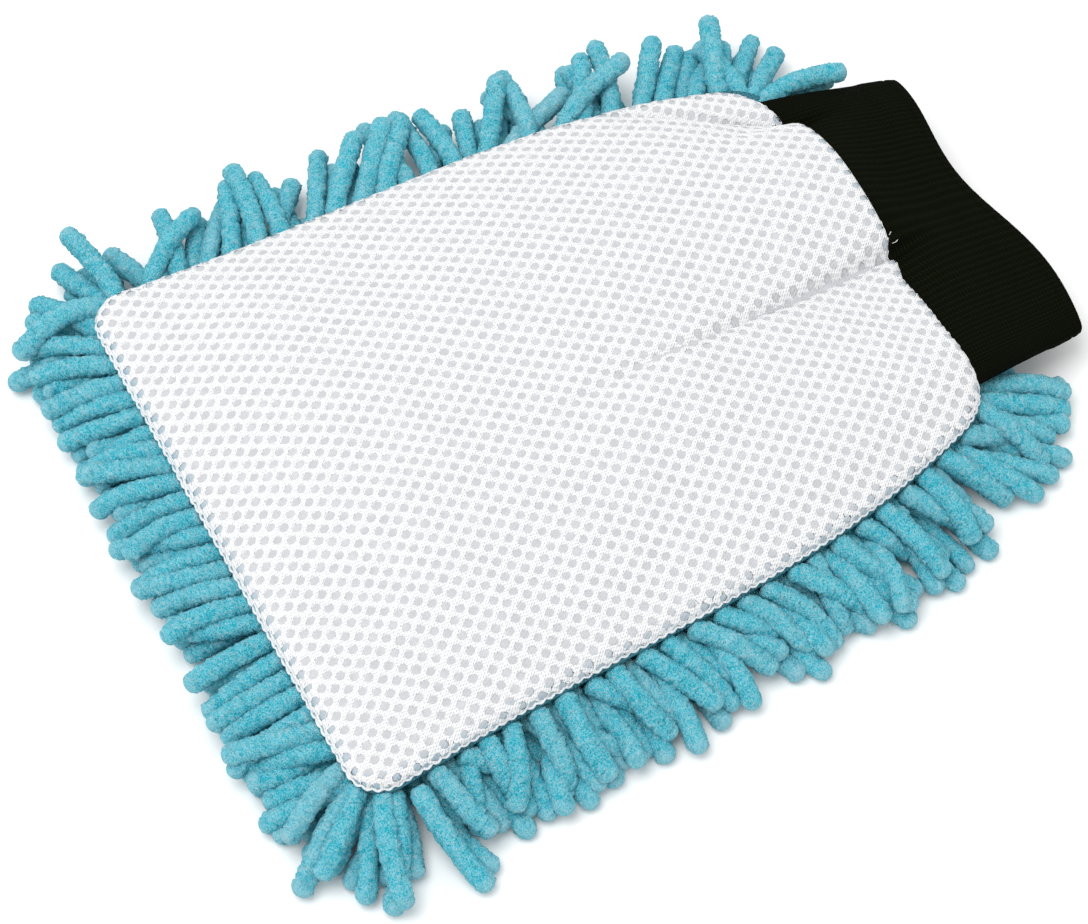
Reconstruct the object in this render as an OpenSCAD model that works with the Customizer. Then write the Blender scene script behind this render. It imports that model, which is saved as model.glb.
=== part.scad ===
// Chenille wash mitt: mesh back, noodle palm and a folded knit cuff, lying palm down.
// +Y runs from the fingertips to the cuff, +Z is up, and the noodle tips touch z = 0.

/* [Hand panel] */
// Length of the hand panel from the fingertip edge to the wrist edge
panel_length = 224; // [200:1:240]
// Width of the hand panel across the fingertips
tip_width = 187; // [170:1:200]
// Width that the tapered sides aim for at the wrist
wrist_width = 132; // [120:1:145]
// How far the long sides swell outside a straight taper
side_swell = 9; // [0:0.5:12]
// Radius of the two fingertip corners
tip_corner = 12; // [6:1:20]
// Radius of the two wrist corners
wrist_corner = 14; // [6:1:20]
// Distance from the middle of the mitt to the fingertip edge
tip_offset = 119; // [110:1:125]

/* [Cloth layers] */
// Height of the underside of the palm ground cloth
ground_z = 17.2; // [17:0.1:20]
// Thickness of the palm ground cloth
ground_thick = 1.2; // [0.8:0.1:1.5]
// Thickness of the mesh's close-knit backing
backing_thick = 1; // [0.6:0.1:1.4]
// Thickness of the mesh's open net face with its spacer yarns
face_thick = 2.2; // [1.5:0.1:3]
// Rise of the back panel over its edge, in the middle of the hand
crown = 15; // [10:0.5:18]
// Width of the turned-in seam allowance
allowance_width = 8; // [5:0.5:12]
// Thickness of the turned-in seam allowance
allowance_thick = 1; // [0.6:0.1:1.2]

/* [Noodles] */
// Diameter of one chenille noodle
noodle_diameter = 5.8; // [4.5:0.1:5.8]
// Length of one chenille noodle from root to tip
noodle_length = 36; // [32:0.5:36]
// Distance between neighbouring noodle rows
row_pitch = 8.2; // [8.2:0.1:9]
// Gap from the panel's edge to the outermost noodle roots
root_inset = 2.5; // [2:0.5:5]
// Widest turn of the side noodles out of square with the edge, in degrees
fan_angle = 16; // [0:1:16]

/* [Cuff] */
// Length of the knit cuff that stands out of the wrist
cuff_length = 39; // [25:1:45]
// Width of the cuff where it is sewn to the mitt
cuff_root_width = 122; // [110:1:124]
// Width of the cuff at its open end
cuff_end_width = 106; // [95:1:120]
// Height of the flattened cuff
cuff_height = 15; // [14:0.5:16]
// Thickness of each of the cuff's two knit layers
knit_thick = 1.1; // [0.8:0.1:1.2]
// Space between the two knit layers
knit_gap = 1; // [0.9:0.1:1.2]
// Number of elastic threads in the cuff's ribbed end
elastic_count = 3; // [1:1:4]

/* [Hidden] */
side_rows = 24;
ROWS = [for (k = [1:side_rows + 2]) str("noodle_row_", k < 10 ? "0" : "", k)];

clearance = 0.1;
tip_y = -tip_offset;
wrist_y = tip_y + panel_length;
ground_top = ground_z + ground_thick;
allowance_z = ground_top + clearance;
backing_z = allowance_z + allowance_thick + clearance;
face_z = backing_z + backing_thick + clearance;
noodle_r = noodle_diameter / 2;
noodle_axis = noodle_length - noodle_diameter;
root_z = ground_z - noodle_r - 0.3;
noodle_slope = asin((root_z - noodle_r) / noodle_axis);
side_y0 = tip_y + root_inset + 3 * row_pitch;
thread_r = 0.45;
join_y = wrist_y + clearance + thread_r;
cuff_y = join_y + thread_r + 2 * clearance;
cuff_root_z = ground_top + 4;
cuff_end_z = cuff_root_z - 1.5;

// Half width of the panel at the fraction t of its length, before its corners are rounded
function side_x(t) =
    tip_width / 2 + (wrist_width - tip_width) / 2 * t + side_swell * sin(180 * pow(t, 1.8));

// How far a corner of radius r takes the side in, at the distance d from the panel's end
function corner_cut(d, r) = d >= r ? 0 : r - sqrt(r * r - pow(r - d, 2));

// Half width of the panel at the height y, with both pairs of corners rounded
function half_width(y) =
    let (t = (y - tip_y) / panel_length)
    side_x(t) - corner_cut(y - tip_y, tip_corner) - corner_cut(wrist_y - y, wrist_corner);

// Stations along the panel, crowded towards both ends where the corners are
function station(i, n) = tip_y + panel_length * (1 - cos(180 * i / n)) / 2;

// Closed outline of the panel, taken in by an inset and running anticlockwise from the fingertips
function outline(inset, n) =
    let (squeeze = (panel_length - 2 * inset) / panel_length)
    let (middle = (tip_y + wrist_y) / 2)
    concat(
        [for (i = [0:n]) let (y = station(i, n)) [half_width(y) - inset, middle + (y - middle) * squeeze]],
        [for (i = [n:-1:0]) let (y = station(i, n)) [inset - half_width(y), middle + (y - middle) * squeeze]]);

// Rise of the domed back at the fraction u across and the place y along, 0 on the sewn edges
function dome(u, y) =
    let (t = (y - tip_y) / panel_length)
    let (tip_rise = 1 - pow(1 - min(1, t / 0.22), 2))
    let (wrist_drop = 1 - 0.35 * pow(t, 4))
    crown * (1 - pow(abs(u), 2.6)) * tip_rise * wrist_drop;

// Faces of a closed sheet whose upper and lower grids hold (nu + 1) * (nv + 1) points each
function sheet_faces(nu, nv) =
    let (w = nu + 1)
    let (under = w * (nv + 1))
    concat(
        [for (j = [0:nv - 1], i = [0:nu - 1]) [j * w + i, (j + 1) * w + i, (j + 1) * w + i + 1, j * w + i + 1]],
        [for (j = [0:nv - 1], i = [0:nu - 1])
            [under + j * w + i, under + j * w + i + 1, under + (j + 1) * w + i + 1, under + (j + 1) * w + i]],
        [for (i = [0:nu - 1]) [i, i + 1, under + i + 1, under + i]],
        [for (i = [0:nu - 1]) [nv * w + i, under + nv * w + i, under + nv * w + i + 1, nv * w + i + 1]],
        [for (j = [0:nv - 1]) [j * w, under + j * w, under + (j + 1) * w, (j + 1) * w]],
        [for (j = [0:nv - 1]) [j * w + nu, (j + 1) * w + nu, under + (j + 1) * w + nu, under + j * w + nu]]);

// Domed sheet of the panel's outline, its underside starting at base_z on the sewn edges
module domed_sheet(base_z, thick, inset) {
    nu = 22;
    nv = 30;
    grid = [for (j = [0:nv], i = [0:nu])
        let (y = station(j, nv))
        let (u = -cos(180 * i / nu))
        [u * (half_width(y) - inset), y, base_z + dome(u, y)]];
    polyhedron(
        points = concat([for (p = grid) p + [0, 0, thick]], grid),
        faces = sheet_faces(nu, nv),
        convexity = 4);
}

// Faces of a ring of na stations, each a closed loop of nb points
function ring_faces(na, nb) =
    [for (i = [0:na - 1], j = [0:nb - 1])
        let (a = i * nb)
        let (b = (i + 1) % na * nb)
        let (k = (j + 1) % nb)
        [a + j, b + j, b + k, a + k]];

// Thread of radius r laid round a closed list of points in the plane, at the height z
module thread_ring(path, z, r) {
    sides = 6;
    count = len(path);
    polyhedron(
        points = [for (i = [0:count - 1])
            let (step = path[(i + 1) % count] - path[(i + count - 1) % count])
            let (out = [step[1], -step[0]] / norm(step))
            for (j = [0:sides - 1])
                [path[i][0] + out[0] * r * cos(60 * j), path[i][1] + out[1] * r * cos(60 * j), z + r * sin(60 * j)]],
        faces = ring_faces(count, sides),
        convexity = 8);
}

// One noodle: a round-ended cord from its root down to the floor, turned by an angle about the root
module noodle(x, y, turn) {
    profile = concat(
        [for (a = [-90:30:0]) [noodle_r * cos(a), noodle_r * sin(a)]],
        [for (a = [0:30:90]) [noodle_r * cos(a), noodle_axis + noodle_r * sin(a)]]);
    translate([x, y, root_z])
        rotate([0, 90 + noodle_slope, turn])
            rotate_extrude($fn = 16)
                polygon(profile);
}

// Stitching that holds one row of noodle roots against the ground cloth
module row_stitch(half, y) {
    stitch_w = 1.6;
    stitch_h = 1.8;
    translate([-half, y - stitch_w / 2, ground_z - stitch_h])
        cube([2 * half, stitch_w, stitch_h]);
}

// Row across the fingertips: the noodles point forward and fan out round the corners
module tip_row(k) {
    y = tip_y + root_inset + 2 * (k - 1) * row_pitch;
    reach = half_width(y) - root_inset;
    count = floor(reach / row_pitch);
    pitch = reach / count;
    row_stitch(reach + 0.6, y);
    for (i = [-count:count]) {
        lean = 66 * pow(abs(i) / count, k == 1 ? 7 : 2.5);
        noodle(i * pitch, y, -90 + (i < 0 ? -lean : lean));
    }
}

// Row across the palm: parted in the middle, the noodles point out to the two sides
module side_row(k) {
    y = side_y0 + (k - 3) * row_pitch;
    t = (y - tip_y) / panel_length;
    lean = fan_angle * (2 * t - 1);
    edge = half_width(y) - root_inset - (k % 2) * row_pitch;
    row_stitch(edge + 0.6, y);
    for (x = [edge:-2 * row_pitch:row_pitch / 2]) {
        noodle(x, y, lean);
        noodle(-x, y, 180 - lean);
    }
}

module noodle_row(k) {
    color("#5fb4c6")
        if (k <= 2) tip_row(k);
        else side_row(k);
}

module mesh_face() {
    color("#f2f5f7") domed_sheet(face_z, face_thick, 0);
}

module mesh_backing() {
    color("#dfe4e8") domed_sheet(backing_z, backing_thick, 0.4);
}

module seam_allowance() {
    color("#4f9fb0")
        translate([0, 0, allowance_z])
            linear_extrude(allowance_thick)
                difference() {
                    polygon(outline(1, 40));
                    polygon(outline(1 + allowance_width, 40));
                    translate([-wrist_width, wrist_y - allowance_width - 2])
                        square([2 * wrist_width, 2 * allowance_width]);
                }
}

// Lock stitch that closes the panel's edge, open across the wrist
module edge_seam_thread() {
    z = allowance_z + allowance_thick / 2;
    color("white")
        difference() {
            thread_ring(outline(-thread_r - clearance, 40), z, thread_r);
            translate([-wrist_width, wrist_y - 3, z - 2])
                cube([2 * wrist_width, 10, 4]);
        }
}

// Overlock thread on the inner edge of the seam allowance, open at the wrist
module overlock_thread() {
    color("#cfd8dc")
        difference() {
            thread_ring(
                outline(1 + allowance_width + thread_r + 0.1, 40),
                ground_top + thread_r + clearance,
                thread_r);
            translate([-wrist_width, wrist_y - allowance_width - 4, ground_top])
                cube([2 * wrist_width, 2 * allowance_width, 4]);
        }
}

module palm_ground() {
    color("#3f7f8f")
        translate([0, 0, ground_z])
            linear_extrude(ground_thick)
                polygon(outline(0.4, 40));
}

// How far the cuff's open end stands past its average length, at the place x across
function end_wave(x) = 2.6 * cos(4.5 * (x - 30)) + 0.03 * x;

// Point on the cuff at the angle a round it, the fraction s along it and the depth d under its surface
function cuff_point(a, s, d) =
    let (half = (cuff_root_width + (cuff_end_width - cuff_root_width) * s) / 2 - d)
    let (high = cuff_height / 2 - d)
    let (x = half * sign(cos(a)) * pow(abs(cos(a)), 0.8))
    let (z = high * sign(sin(a)) * pow(abs(sin(a)), 0.6))
    [x, cuff_y + s * (cuff_length + end_wave(x)), cuff_root_z + (cuff_end_z - cuff_root_z) * s + z];

// Folded knit tube: the section runs out along one layer, over the fold and back along the other
module cuff() {
    around = 64;
    outer = [for (s = [0:0.2:1]) [s, s == 1 ? 0.5 : 0]];
    wall = 2 * knit_thick + knit_gap;
    slot_end = 0.94;
    section = concat(
        outer,
        [for (s = [1:-0.2:-0.1]) [max(s, 0), s > 0.9 ? wall - 0.5 : wall]],
        [[0, knit_thick + knit_gap], [slot_end, knit_thick + knit_gap], [slot_end, knit_thick], [0, knit_thick]]);
    color("#14150f")
        polyhedron(
            points = [for (i = [0:around - 1], p = section) cuff_point(360 * i / around, p[0], p[1])],
            faces = ring_faces(around, len(section)),
            convexity = 8);
}

// Elastic threads that run round the cuff between its two knit layers
module cuff_elastic() {
    around = 64;
    sides = 6;
    r = knit_gap / 2 - clearance;
    depth = knit_thick + knit_gap / 2;
    color("#303030")
        for (n = [0:elastic_count - 1]) {
            s = 0.88 - 0.07 * n;
            polyhedron(
                points = [for (i = [0:around - 1], j = [0:sides - 1])
                    cuff_point(360 * i / around, s + r / cuff_length * sin(-60 * j), depth - r * cos(60 * j))],
                faces = ring_faces(around, sides),
                convexity = 8);
        }
}

// Ring of stitching that the cuff hangs from, just inside the wrist edge
module cuff_join_thread() {
    around = 64;
    sides = 6;
    depth = knit_thick + knit_gap / 2;
    color("#20211c")
        polyhedron(
            points = [for (i = [0:around - 1], j = [0:sides - 1])
                cuff_point(360 * i / around, 0, depth - thread_r * cos(60 * j))
                    + [0, join_y - cuff_y - thread_r * sin(60 * j), 0]],
            faces = ring_faces(around, sides),
            convexity = 8);
}

mesh_face();
mesh_backing();
seam_allowance();
edge_seam_thread();
overlock_thread();
palm_ground();
cuff();
cuff_elastic();
cuff_join_thread();
for (k = [1:side_rows + 2]) {
    noodle_row(k);
}
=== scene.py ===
"""Chenille wash mitt: an open mesh back, noodles of microfibre chenille under it, and a folded knit cuff.

Lengths inside the shape functions are millimetres; add_piece() turns them into metres.
"""

import math

import bpy
import numpy as np
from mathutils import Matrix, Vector


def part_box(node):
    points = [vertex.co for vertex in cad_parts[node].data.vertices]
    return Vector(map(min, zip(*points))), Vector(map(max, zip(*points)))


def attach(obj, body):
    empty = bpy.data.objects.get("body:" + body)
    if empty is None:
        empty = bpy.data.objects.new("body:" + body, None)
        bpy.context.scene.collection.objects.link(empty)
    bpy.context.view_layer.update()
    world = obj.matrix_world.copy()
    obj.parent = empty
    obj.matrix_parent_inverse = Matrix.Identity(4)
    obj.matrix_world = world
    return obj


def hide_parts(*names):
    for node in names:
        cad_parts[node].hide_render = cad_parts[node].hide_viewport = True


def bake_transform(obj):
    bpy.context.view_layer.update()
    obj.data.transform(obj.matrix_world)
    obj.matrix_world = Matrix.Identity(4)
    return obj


bl_info = {
    "name": "Chenille Wash Mitt",
    "version": (1, 0, 0),
    "blender": (4, 5, 0),
    "location": "View3D > Sidebar > Wash Mitt",
    "description": "Builds the cloth, noodles, cuff and stage of a chenille wash mitt around its frame",
    "category": "Add Mesh",
}

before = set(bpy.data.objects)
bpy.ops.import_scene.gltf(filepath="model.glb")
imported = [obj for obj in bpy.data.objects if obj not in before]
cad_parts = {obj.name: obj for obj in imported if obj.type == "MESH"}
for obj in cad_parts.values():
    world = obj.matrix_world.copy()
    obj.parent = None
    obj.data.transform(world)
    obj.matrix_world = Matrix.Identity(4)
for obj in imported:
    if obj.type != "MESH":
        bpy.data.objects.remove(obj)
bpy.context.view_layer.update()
MM = 0.001
SEED = 7

FACE_LOW, FACE_HIGH = (np.array(corner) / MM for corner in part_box("mesh_face"))
GROUND_LOW, GROUND_HIGH = (np.array(corner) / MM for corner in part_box("palm_ground"))
TIP_Y, WRIST_Y = FACE_LOW[1], FACE_HIGH[1]
PANEL_LENGTH = WRIST_Y - TIP_Y
GROUND_Z = GROUND_LOW[2]
ROWS = sorted(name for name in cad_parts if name.startswith("noodle_row_"))
ROW_Y = {
    name: float(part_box(name)[0][1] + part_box(name)[1][1]) / 2 / MM for name in ROWS
}


# ---------------------------------------------------------------- settings


class MittShape(bpy.types.PropertyGroup):
    """Sizes of the cloth, the noodles and the cuff, in metres."""

    hole_pitch: bpy.props.FloatProperty(
        name="Hole pitch", description="Distance between mesh holes across the hand",
        default=0.0048, min=0.004, max=0.007, precision=4, unit="LENGTH")
    hole_rows: bpy.props.FloatProperty(
        name="Hole rows", description="Distance between rows of mesh holes along the hand",
        default=0.00315, min=0.0025, max=0.005, precision=4, unit="LENGTH")
    hole_width: bpy.props.FloatProperty(
        name="Hole width", description="Width of one mesh hole",
        default=0.0024, min=0.001, max=0.004, precision=4, unit="LENGTH")
    hole_length: bpy.props.FloatProperty(
        name="Hole length", description="Length of one mesh hole along the hand",
        default=0.0031, min=0.001, max=0.004, precision=4, unit="LENGTH")
    crown: bpy.props.FloatProperty(
        name="Crown", description="Rise of the back panel over its sewn edge",
        default=0.0145, min=0.005, max=0.018, precision=4, unit="LENGTH")
    noodle_diameter: bpy.props.FloatProperty(
        name="Noodle diameter", description="Diameter of one chenille noodle",
        default=0.0062, min=0.004, max=0.007, precision=4, unit="LENGTH")
    noodle_length: bpy.props.FloatProperty(
        name="Noodle length", description="Length of one chenille noodle",
        default=0.0365, min=0.025, max=0.04, precision=4, unit="LENGTH")
    cuff_height: bpy.props.FloatProperty(
        name="Cuff height", description="Height of the flattened cuff where it leaves the wrist",
        default=0.0125, min=0.008, max=0.016, precision=4, unit="LENGTH")


class MittColours(bpy.types.PropertyGroup):
    """Base colours of the cloths, as linear values."""

    mesh: bpy.props.FloatVectorProperty(
        name="Mesh", description="Net face of the back panel",
        default=(0.97, 0.972, 0.978), size=3, min=0, max=1, subtype="COLOR")
    # The backing's grey is painted shade: it stands for the shade down in the net's holes, as the sheet lies
    # only just under the net.
    backing: bpy.props.FloatVectorProperty(
        name="Backing", description="Close-knit backing seen through the mesh holes",
        default=(0.51, 0.52, 0.54), size=3, min=0, max=1, subtype="COLOR")
    chenille: bpy.props.FloatVectorProperty(
        name="Chenille", description="Body of the noodles",
        default=(0.030, 0.66, 0.82), size=3, min=0, max=1, subtype="COLOR")
    # This pale colour is painted sheen at the pile's high points and the cut tips, and also a random tone per
    # noodle.
    chenille_pale_and_sheen: bpy.props.FloatVectorProperty(
        name="Chenille tips", description="Brushed pile and cut tips of the noodles",
        default=(0.62, 0.75, 0.81), size=3, min=0, max=1, subtype="COLOR")
    ground: bpy.props.FloatVectorProperty(
        name="Ground cloth", description="Cloth that the noodles are sewn to",
        default=(0.05, 0.21, 0.27), size=3, min=0, max=1, subtype="COLOR")
    knit: bpy.props.FloatVectorProperty(
        name="Cuff knit", description="Rib knit of the cuff",
        default=(0.0040, 0.0050, 0.0020), size=3, min=0, max=1, subtype="COLOR")


class MittStage(bpy.types.PropertyGroup):
    """Viewpoint and light."""

    azimuth: bpy.props.FloatProperty(
        name="Azimuth", description="Direction that the camera looks, turned from +Y",
        default=math.radians(61.2), subtype="ANGLE")
    elevation: bpy.props.FloatProperty(
        name="Elevation", description="Height of the camera over the horizon",
        default=math.radians(59.5), subtype="ANGLE")
    distance: bpy.props.FloatProperty(
        name="Distance", description="Distance from the camera to the point it looks at",
        default=0.9, min=0.3, unit="LENGTH")
    points_per_metre: bpy.props.FloatProperty(
        name="Scale", description="Picture points for one metre at that distance",
        default=3400.0, min=500.0)
    target: bpy.props.FloatVectorProperty(
        name="Target", description="Point in the middle of the picture",
        default=(0.019, -0.022, 0.015), size=3, subtype="TRANSLATION", unit="LENGTH")
    key_power: bpy.props.FloatProperty(
        name="Key power", description="Power of the large soft lamp",
        default=15.5, min=0.0, unit="POWER")
    surroundings: bpy.props.FloatProperty(
        name="Surroundings", description="Strength of the even white light from all round",
        default=0.89, min=0.0)


PICTURE_WIDTH = 1088
SETTINGS = {"mitt_shape": MittShape, "mitt_colours": MittColours, "mitt_stage": MittStage}


# ---------------------------------------------------------------- numbers and meshes


def smooth(low, high, value):
    """Eased step: 0 under low, 1 over high, with no slope at either end."""
    t = np.clip((value - low) / (high - low), 0, 1)
    return t * t * (3 - 2 * t)


def bell(value, width):
    """Gaussian hump of height 1 at 0."""
    return np.exp(-((value / width) ** 2))


def unit(vectors):
    """Vectors scaled to length 1 along the last axis."""
    return vectors / np.maximum(np.linalg.norm(vectors, axis=-1, keepdims=True), 1e-9)


def ripple(x, y, wavelength, seed):
    """Sum of eight plane waves of about one wavelength with random headings and phases, from -1 to 1."""
    rng = np.random.default_rng(seed)
    heading = rng.uniform(0, 2 * np.pi, 8)
    phase = rng.uniform(0, 2 * np.pi, 8)
    wave = 2 * np.pi / (wavelength * rng.uniform(0.7, 1.4, 8))
    angle = wave * (np.multiply.outer(x, np.cos(heading)) + np.multiply.outer(y, np.sin(heading)))
    return np.sin(angle + phase).sum(-1) / 4


def add_piece(name, points, quads, triangles=None, material=None, values=None, uv=None):
    """New mesh object from points in millimetres, quads and triangles; values are named numbers per point."""
    triangles = np.zeros((0, 3), int) if triangles is None else triangles
    loops = np.concatenate([quads.ravel(), triangles.ravel()]).astype(np.int32)
    totals = np.concatenate([np.full(len(quads), 4), np.full(len(triangles), 3)]).astype(np.int32)
    starts = np.concatenate([[0], np.cumsum(totals)[:-1]]).astype(np.int32)
    mesh = bpy.data.meshes.new(name)
    mesh.vertices.add(len(points))
    mesh.vertices.foreach_set("co", (points * MM).astype(np.float32).ravel())
    mesh.loops.add(len(loops))
    mesh.loops.foreach_set("vertex_index", loops)
    mesh.polygons.add(len(totals))
    mesh.polygons.foreach_set("loop_start", starts)
    mesh.polygons.foreach_set("loop_total", totals)
    mesh.update(calc_edges=True)
    mesh.polygons.foreach_set("use_smooth", np.ones(len(totals), bool))
    for key, numbers in (values or {}).items():
        attribute = mesh.attributes.new(key, "FLOAT", "POINT")
        attribute.data.foreach_set("value", np.asarray(numbers, np.float32).ravel())
    if uv is not None:
        layer = mesh.uv_layers.new(name="cloth")
        layer.data.foreach_set("uv", uv[loops].astype(np.float32).ravel())
    if mesh.validate():
        raise RuntimeError(f"{name} has faulty faces")
    piece = bpy.data.objects.new(name, mesh)
    bpy.context.scene.collection.objects.link(piece)
    if material is not None:
        mesh.materials.append(material)
    return piece


def grid_quads(rows, columns, wrap=False):
    """Quads of a grid of points; with wrap, its last column joins its first."""
    index = np.arange(rows * columns).reshape(rows, columns)
    if wrap:
        index = np.concatenate([index, index[:, :1]], axis=1)
    corners = (index[:-1, :-1], index[:-1, 1:], index[1:, 1:], index[1:, :-1])
    return np.stack([c.ravel() for c in corners], axis=1)


# ---------------------------------------------------------------- outline of the hand panel

TIP_WIDTH, WRIST_WIDTH, SIDE_SWELL = 187.0, 132.0, 9.0
TIP_CORNER, WRIST_CORNER = 12.0, 14.0


def corner_cut(distance, radius):
    """How far a round corner takes the side in, at a distance from the panel's end."""
    inside = np.clip(radius - distance, 0, radius)
    return radius - np.sqrt(radius**2 - inside**2)


def half_width(y):
    """Half width of the panel at y: a straight taper, a swell and two round corners."""
    t = np.clip((y - TIP_Y) / PANEL_LENGTH, 0, 1)
    side = TIP_WIDTH / 2 + (WRIST_WIDTH - TIP_WIDTH) / 2 * t + SIDE_SWELL * np.sin(np.pi * t**1.8)
    return side - corner_cut(y - TIP_Y, TIP_CORNER) - corner_cut(WRIST_Y - y, WRIST_CORNER)


def outline(spacing=0.8, samples=400):
    """Evenly spaced outline, anticlockwise from the middle of the fingertips, and its inward normals."""
    t = (1 - np.cos(np.linspace(0, np.pi, samples))) / 2
    y = TIP_Y + PANEL_LENGTH * t
    right = np.stack([half_width(y), y], 1)
    left = right[::-1] * (-1, 1)
    tip, wrist = np.array([[0, TIP_Y]]), np.array([[0, WRIST_Y]])
    loop = np.concatenate([tip, right, wrist, left, tip])
    along = np.concatenate([[0], np.cumsum(np.linalg.norm(np.diff(loop, axis=0), axis=1))])
    count = int(along[-1] / spacing)
    at = np.linspace(0, along[-1], count, endpoint=False)
    points = np.stack([np.interp(at, along, loop[:, i]) for i in (0, 1)], 1)
    step = unit(np.roll(points, -1, 0) - np.roll(points, 1, 0))
    return points, np.stack([-step[:, 1], step[:, 0]], 1)


EDGE, EDGE_IN = outline()


def to_edge(plan):
    """Signed distance inside the outline, the nearest point of the outline and its inward normal."""
    near = np.empty(len(plan), int)
    for part in np.array_split(np.arange(len(plan)), max(1, len(plan) // 4000)):
        gap = ((plan[part, None, :] - EDGE[None, :, :]) ** 2).sum(-1)
        near[part] = gap.argmin(1)
    foot, inward = EDGE[near], EDGE_IN[near]
    distance = ((plan - foot) * inward).sum(1)
    return distance, foot, inward


# ---------------------------------------------------------------- surface of the back panel

SEAM_Z = GROUND_HIGH[2] + 0.6
EDGE_ROLL = 2.9
ROLL_SPARE = EDGE_ROLL * (np.pi / 2 - 1)
NOTCH_X, NOTCH_LEAN = 9.0, 0.06
EAR_X, EAR_LEAN = -45.0, -0.62
LOBE_END_X, LOBE_END_LEAN = 67.5, 0.15
ARCH_LOW, WIDE_LOBE, SECOND_LOBE, EAR_HUMP = 0.7, 10.4, 8.6, 2.6
LIP_HEIGHT, CREASE_DEPTH, EAR_FOLD_DEPTH = 1.1, 2.2, 2.8
NICK, LOBE_RECESS, EAR_RECESS = 0.6, 3.5, 4.0


def notch_at(back):
    """Place across the hand of the notch between the lobes, back millimetres from the wrist edge."""
    return NOTCH_X + NOTCH_LEAN * back


def ear_at(back):
    """Place across the hand where the ear meets the wide lobe, back millimetres from the wrist edge."""
    return EAR_X + EAR_LEAN * back


def wrist_arch(x, back):
    """Height of the gathered cloth, back millimetres from the wrist edge.

    It is a low ear, a wide lobe that is a power of a parabola, a notch, and a lobe with a steep end."""
    ear, notch = ear_at(back), notch_at(back)
    middle, half = (ear + notch) / 2, (notch - ear) / 2
    wide = np.clip(1 - ((x - middle) / half) ** 2, 0, 1) ** np.where(x < middle, 0.48, 0.58)
    v = np.clip((x - notch) / (LOBE_END_X + LOBE_END_LEAN * back - notch), 0, 1)
    second = 1.25 * v**0.8 * (1 - v**7)
    return ARCH_LOW + WIDE_LOBE * wide + SECOND_LOBE * second + EAR_HUMP * bell(x - ear + 10, 7)


def wrist_folds(x, back):
    """Height of the gathers from the wrist: a crease with a lip at the notch, and the ear's own fold."""
    t = 1 - back / PANEL_LENGTH
    off = x - notch_at(back)
    crease = (bell(off, 1.5) + 0.45 * np.exp(-np.abs(off) / 9)) * smooth(0.26, 0.85, t)
    lip = np.exp(-np.maximum(-off, 0) / 7) * smooth(0.9, -0.9, off) * smooth(0.50, 0.86, t)
    ear = bell(0.85 * (x + 1 - ear_at(back)), 1.6) * smooth(0.70, 0.88, t)
    return LIP_HEIGHT * lip - CREASE_DEPTH * crease - EAR_FOLD_DEPTH * ear


def wrist_recess(x, y):
    """How far the gathered edge is drawn back to the fingertips: the ear, a nick, and the second lobe."""
    off = x - NOTCH_X
    notch = NICK * bell(off, 2.5) + LOBE_RECESS * smooth(0, 12, off) * (1 - smooth(30, 54, off))
    ear = EAR_RECESS * smooth(-43.0, -48.0, x)
    return (notch + ear) * smooth(60, WRIST_Y - 1, y)


def panel_rise(x, y, crown):
    """Height of the back panel over its seam: a crowned pillow that turns into the gathered wrist."""
    t = np.clip((y - TIP_Y) / PANEL_LENGTH, 0, 1)
    back = np.clip(WRIST_Y - y, 0, PANEL_LENGTH)
    u = np.clip(np.abs(x) / np.maximum(half_width(y), 1), 0, 1)
    pillow = crown * (1 - u**2.4) * (1 - (1 - np.clip(t / 0.26, 0, 1)) ** 2)
    gather = smooth(0.58, 1.0, t)
    rise = pillow * (1 - gather) + wrist_arch(x, back) * (1 - u**7) * gather
    rise = rise + wrist_folds(x, back)
    inner = smooth(0, 0.25, 1 - u) * smooth(0, 0.1, t)
    return rise + inner * (0.60 * ripple(x, y, 62, 3) + 0.22 * ripple(x, y, 24, 5))


def panel_surface(cloth, crown):
    """Point of the back panel over a point of its flat cloth; the edge rolls down a quarter circle."""
    distance, foot, inward = to_edge(cloth)
    inset = distance + ROLL_SPARE
    turn = np.minimum(inset / EDGE_ROLL, np.pi / 2)
    plan_inset = np.where(turn < np.pi / 2, EDGE_ROLL * (1 - np.cos(turn)), distance)
    rolled = foot + inward * plan_inset[:, None]
    plan = np.where((turn < np.pi / 2)[:, None], rolled, cloth)
    z = SEAM_Z + EDGE_ROLL * np.sin(turn) + panel_rise(plan[:, 0], plan[:, 1], crown)
    plan = plan - wrist_recess(plan[:, 0], plan[:, 1])[:, None] * (0, 1)
    return np.column_stack([plan, z]), inset


def panel_points(cloth, lift, crown):
    """Points lifted off the back panel along its normal, which comes from two small steps on the cloth."""
    step = 0.15
    here, inset = panel_surface(cloth, crown)
    across = panel_surface(cloth + (step, 0), crown)[0] - here
    along = panel_surface(cloth + (0, step), crown)[0] - here
    normal = unit(np.cross(across, along))
    return here + normal * np.asarray(lift)[..., None], inset


# ---------------------------------------------------------------- net face of the spacer mesh

RING_HEIGHTS = np.array([0.27, 0.22, 0.03, -0.26])
RING_FREEDOM = np.array([0, 0.5, 1, 1])
SIZE_JITTER, SLIP = 0.035, 0.06
WELD = 0.02
NET_HEM = 1.5
CORNER_SPARE = 9.0
BACKING_STEP, BACKING_HEM, BACKING_SINK = 2.0, 1.0, 0.20


def hole_centres(shape):
    """Staggered lattice of hole centres on the flat cloth, a little past its outline."""
    pitch, rows = shape.hole_pitch / MM, shape.hole_rows / MM
    side = math.ceil((TIP_WIDTH / 2 + SIDE_SWELL) / pitch) + 2
    end = math.ceil(PANEL_LENGTH / 2 / rows) + 2
    across, along = np.meshgrid(np.arange(-side, side + 1), np.arange(-end, end + 1))
    x = (across + 0.5 * (along % 2)) * pitch
    y = along * rows + (TIP_Y + WRIST_Y) / 2
    centres = np.column_stack([x.ravel(), y.ravel()])
    distance = to_edge(centres)[0]
    return centres[distance + ROLL_SPARE > -0.4]


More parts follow.
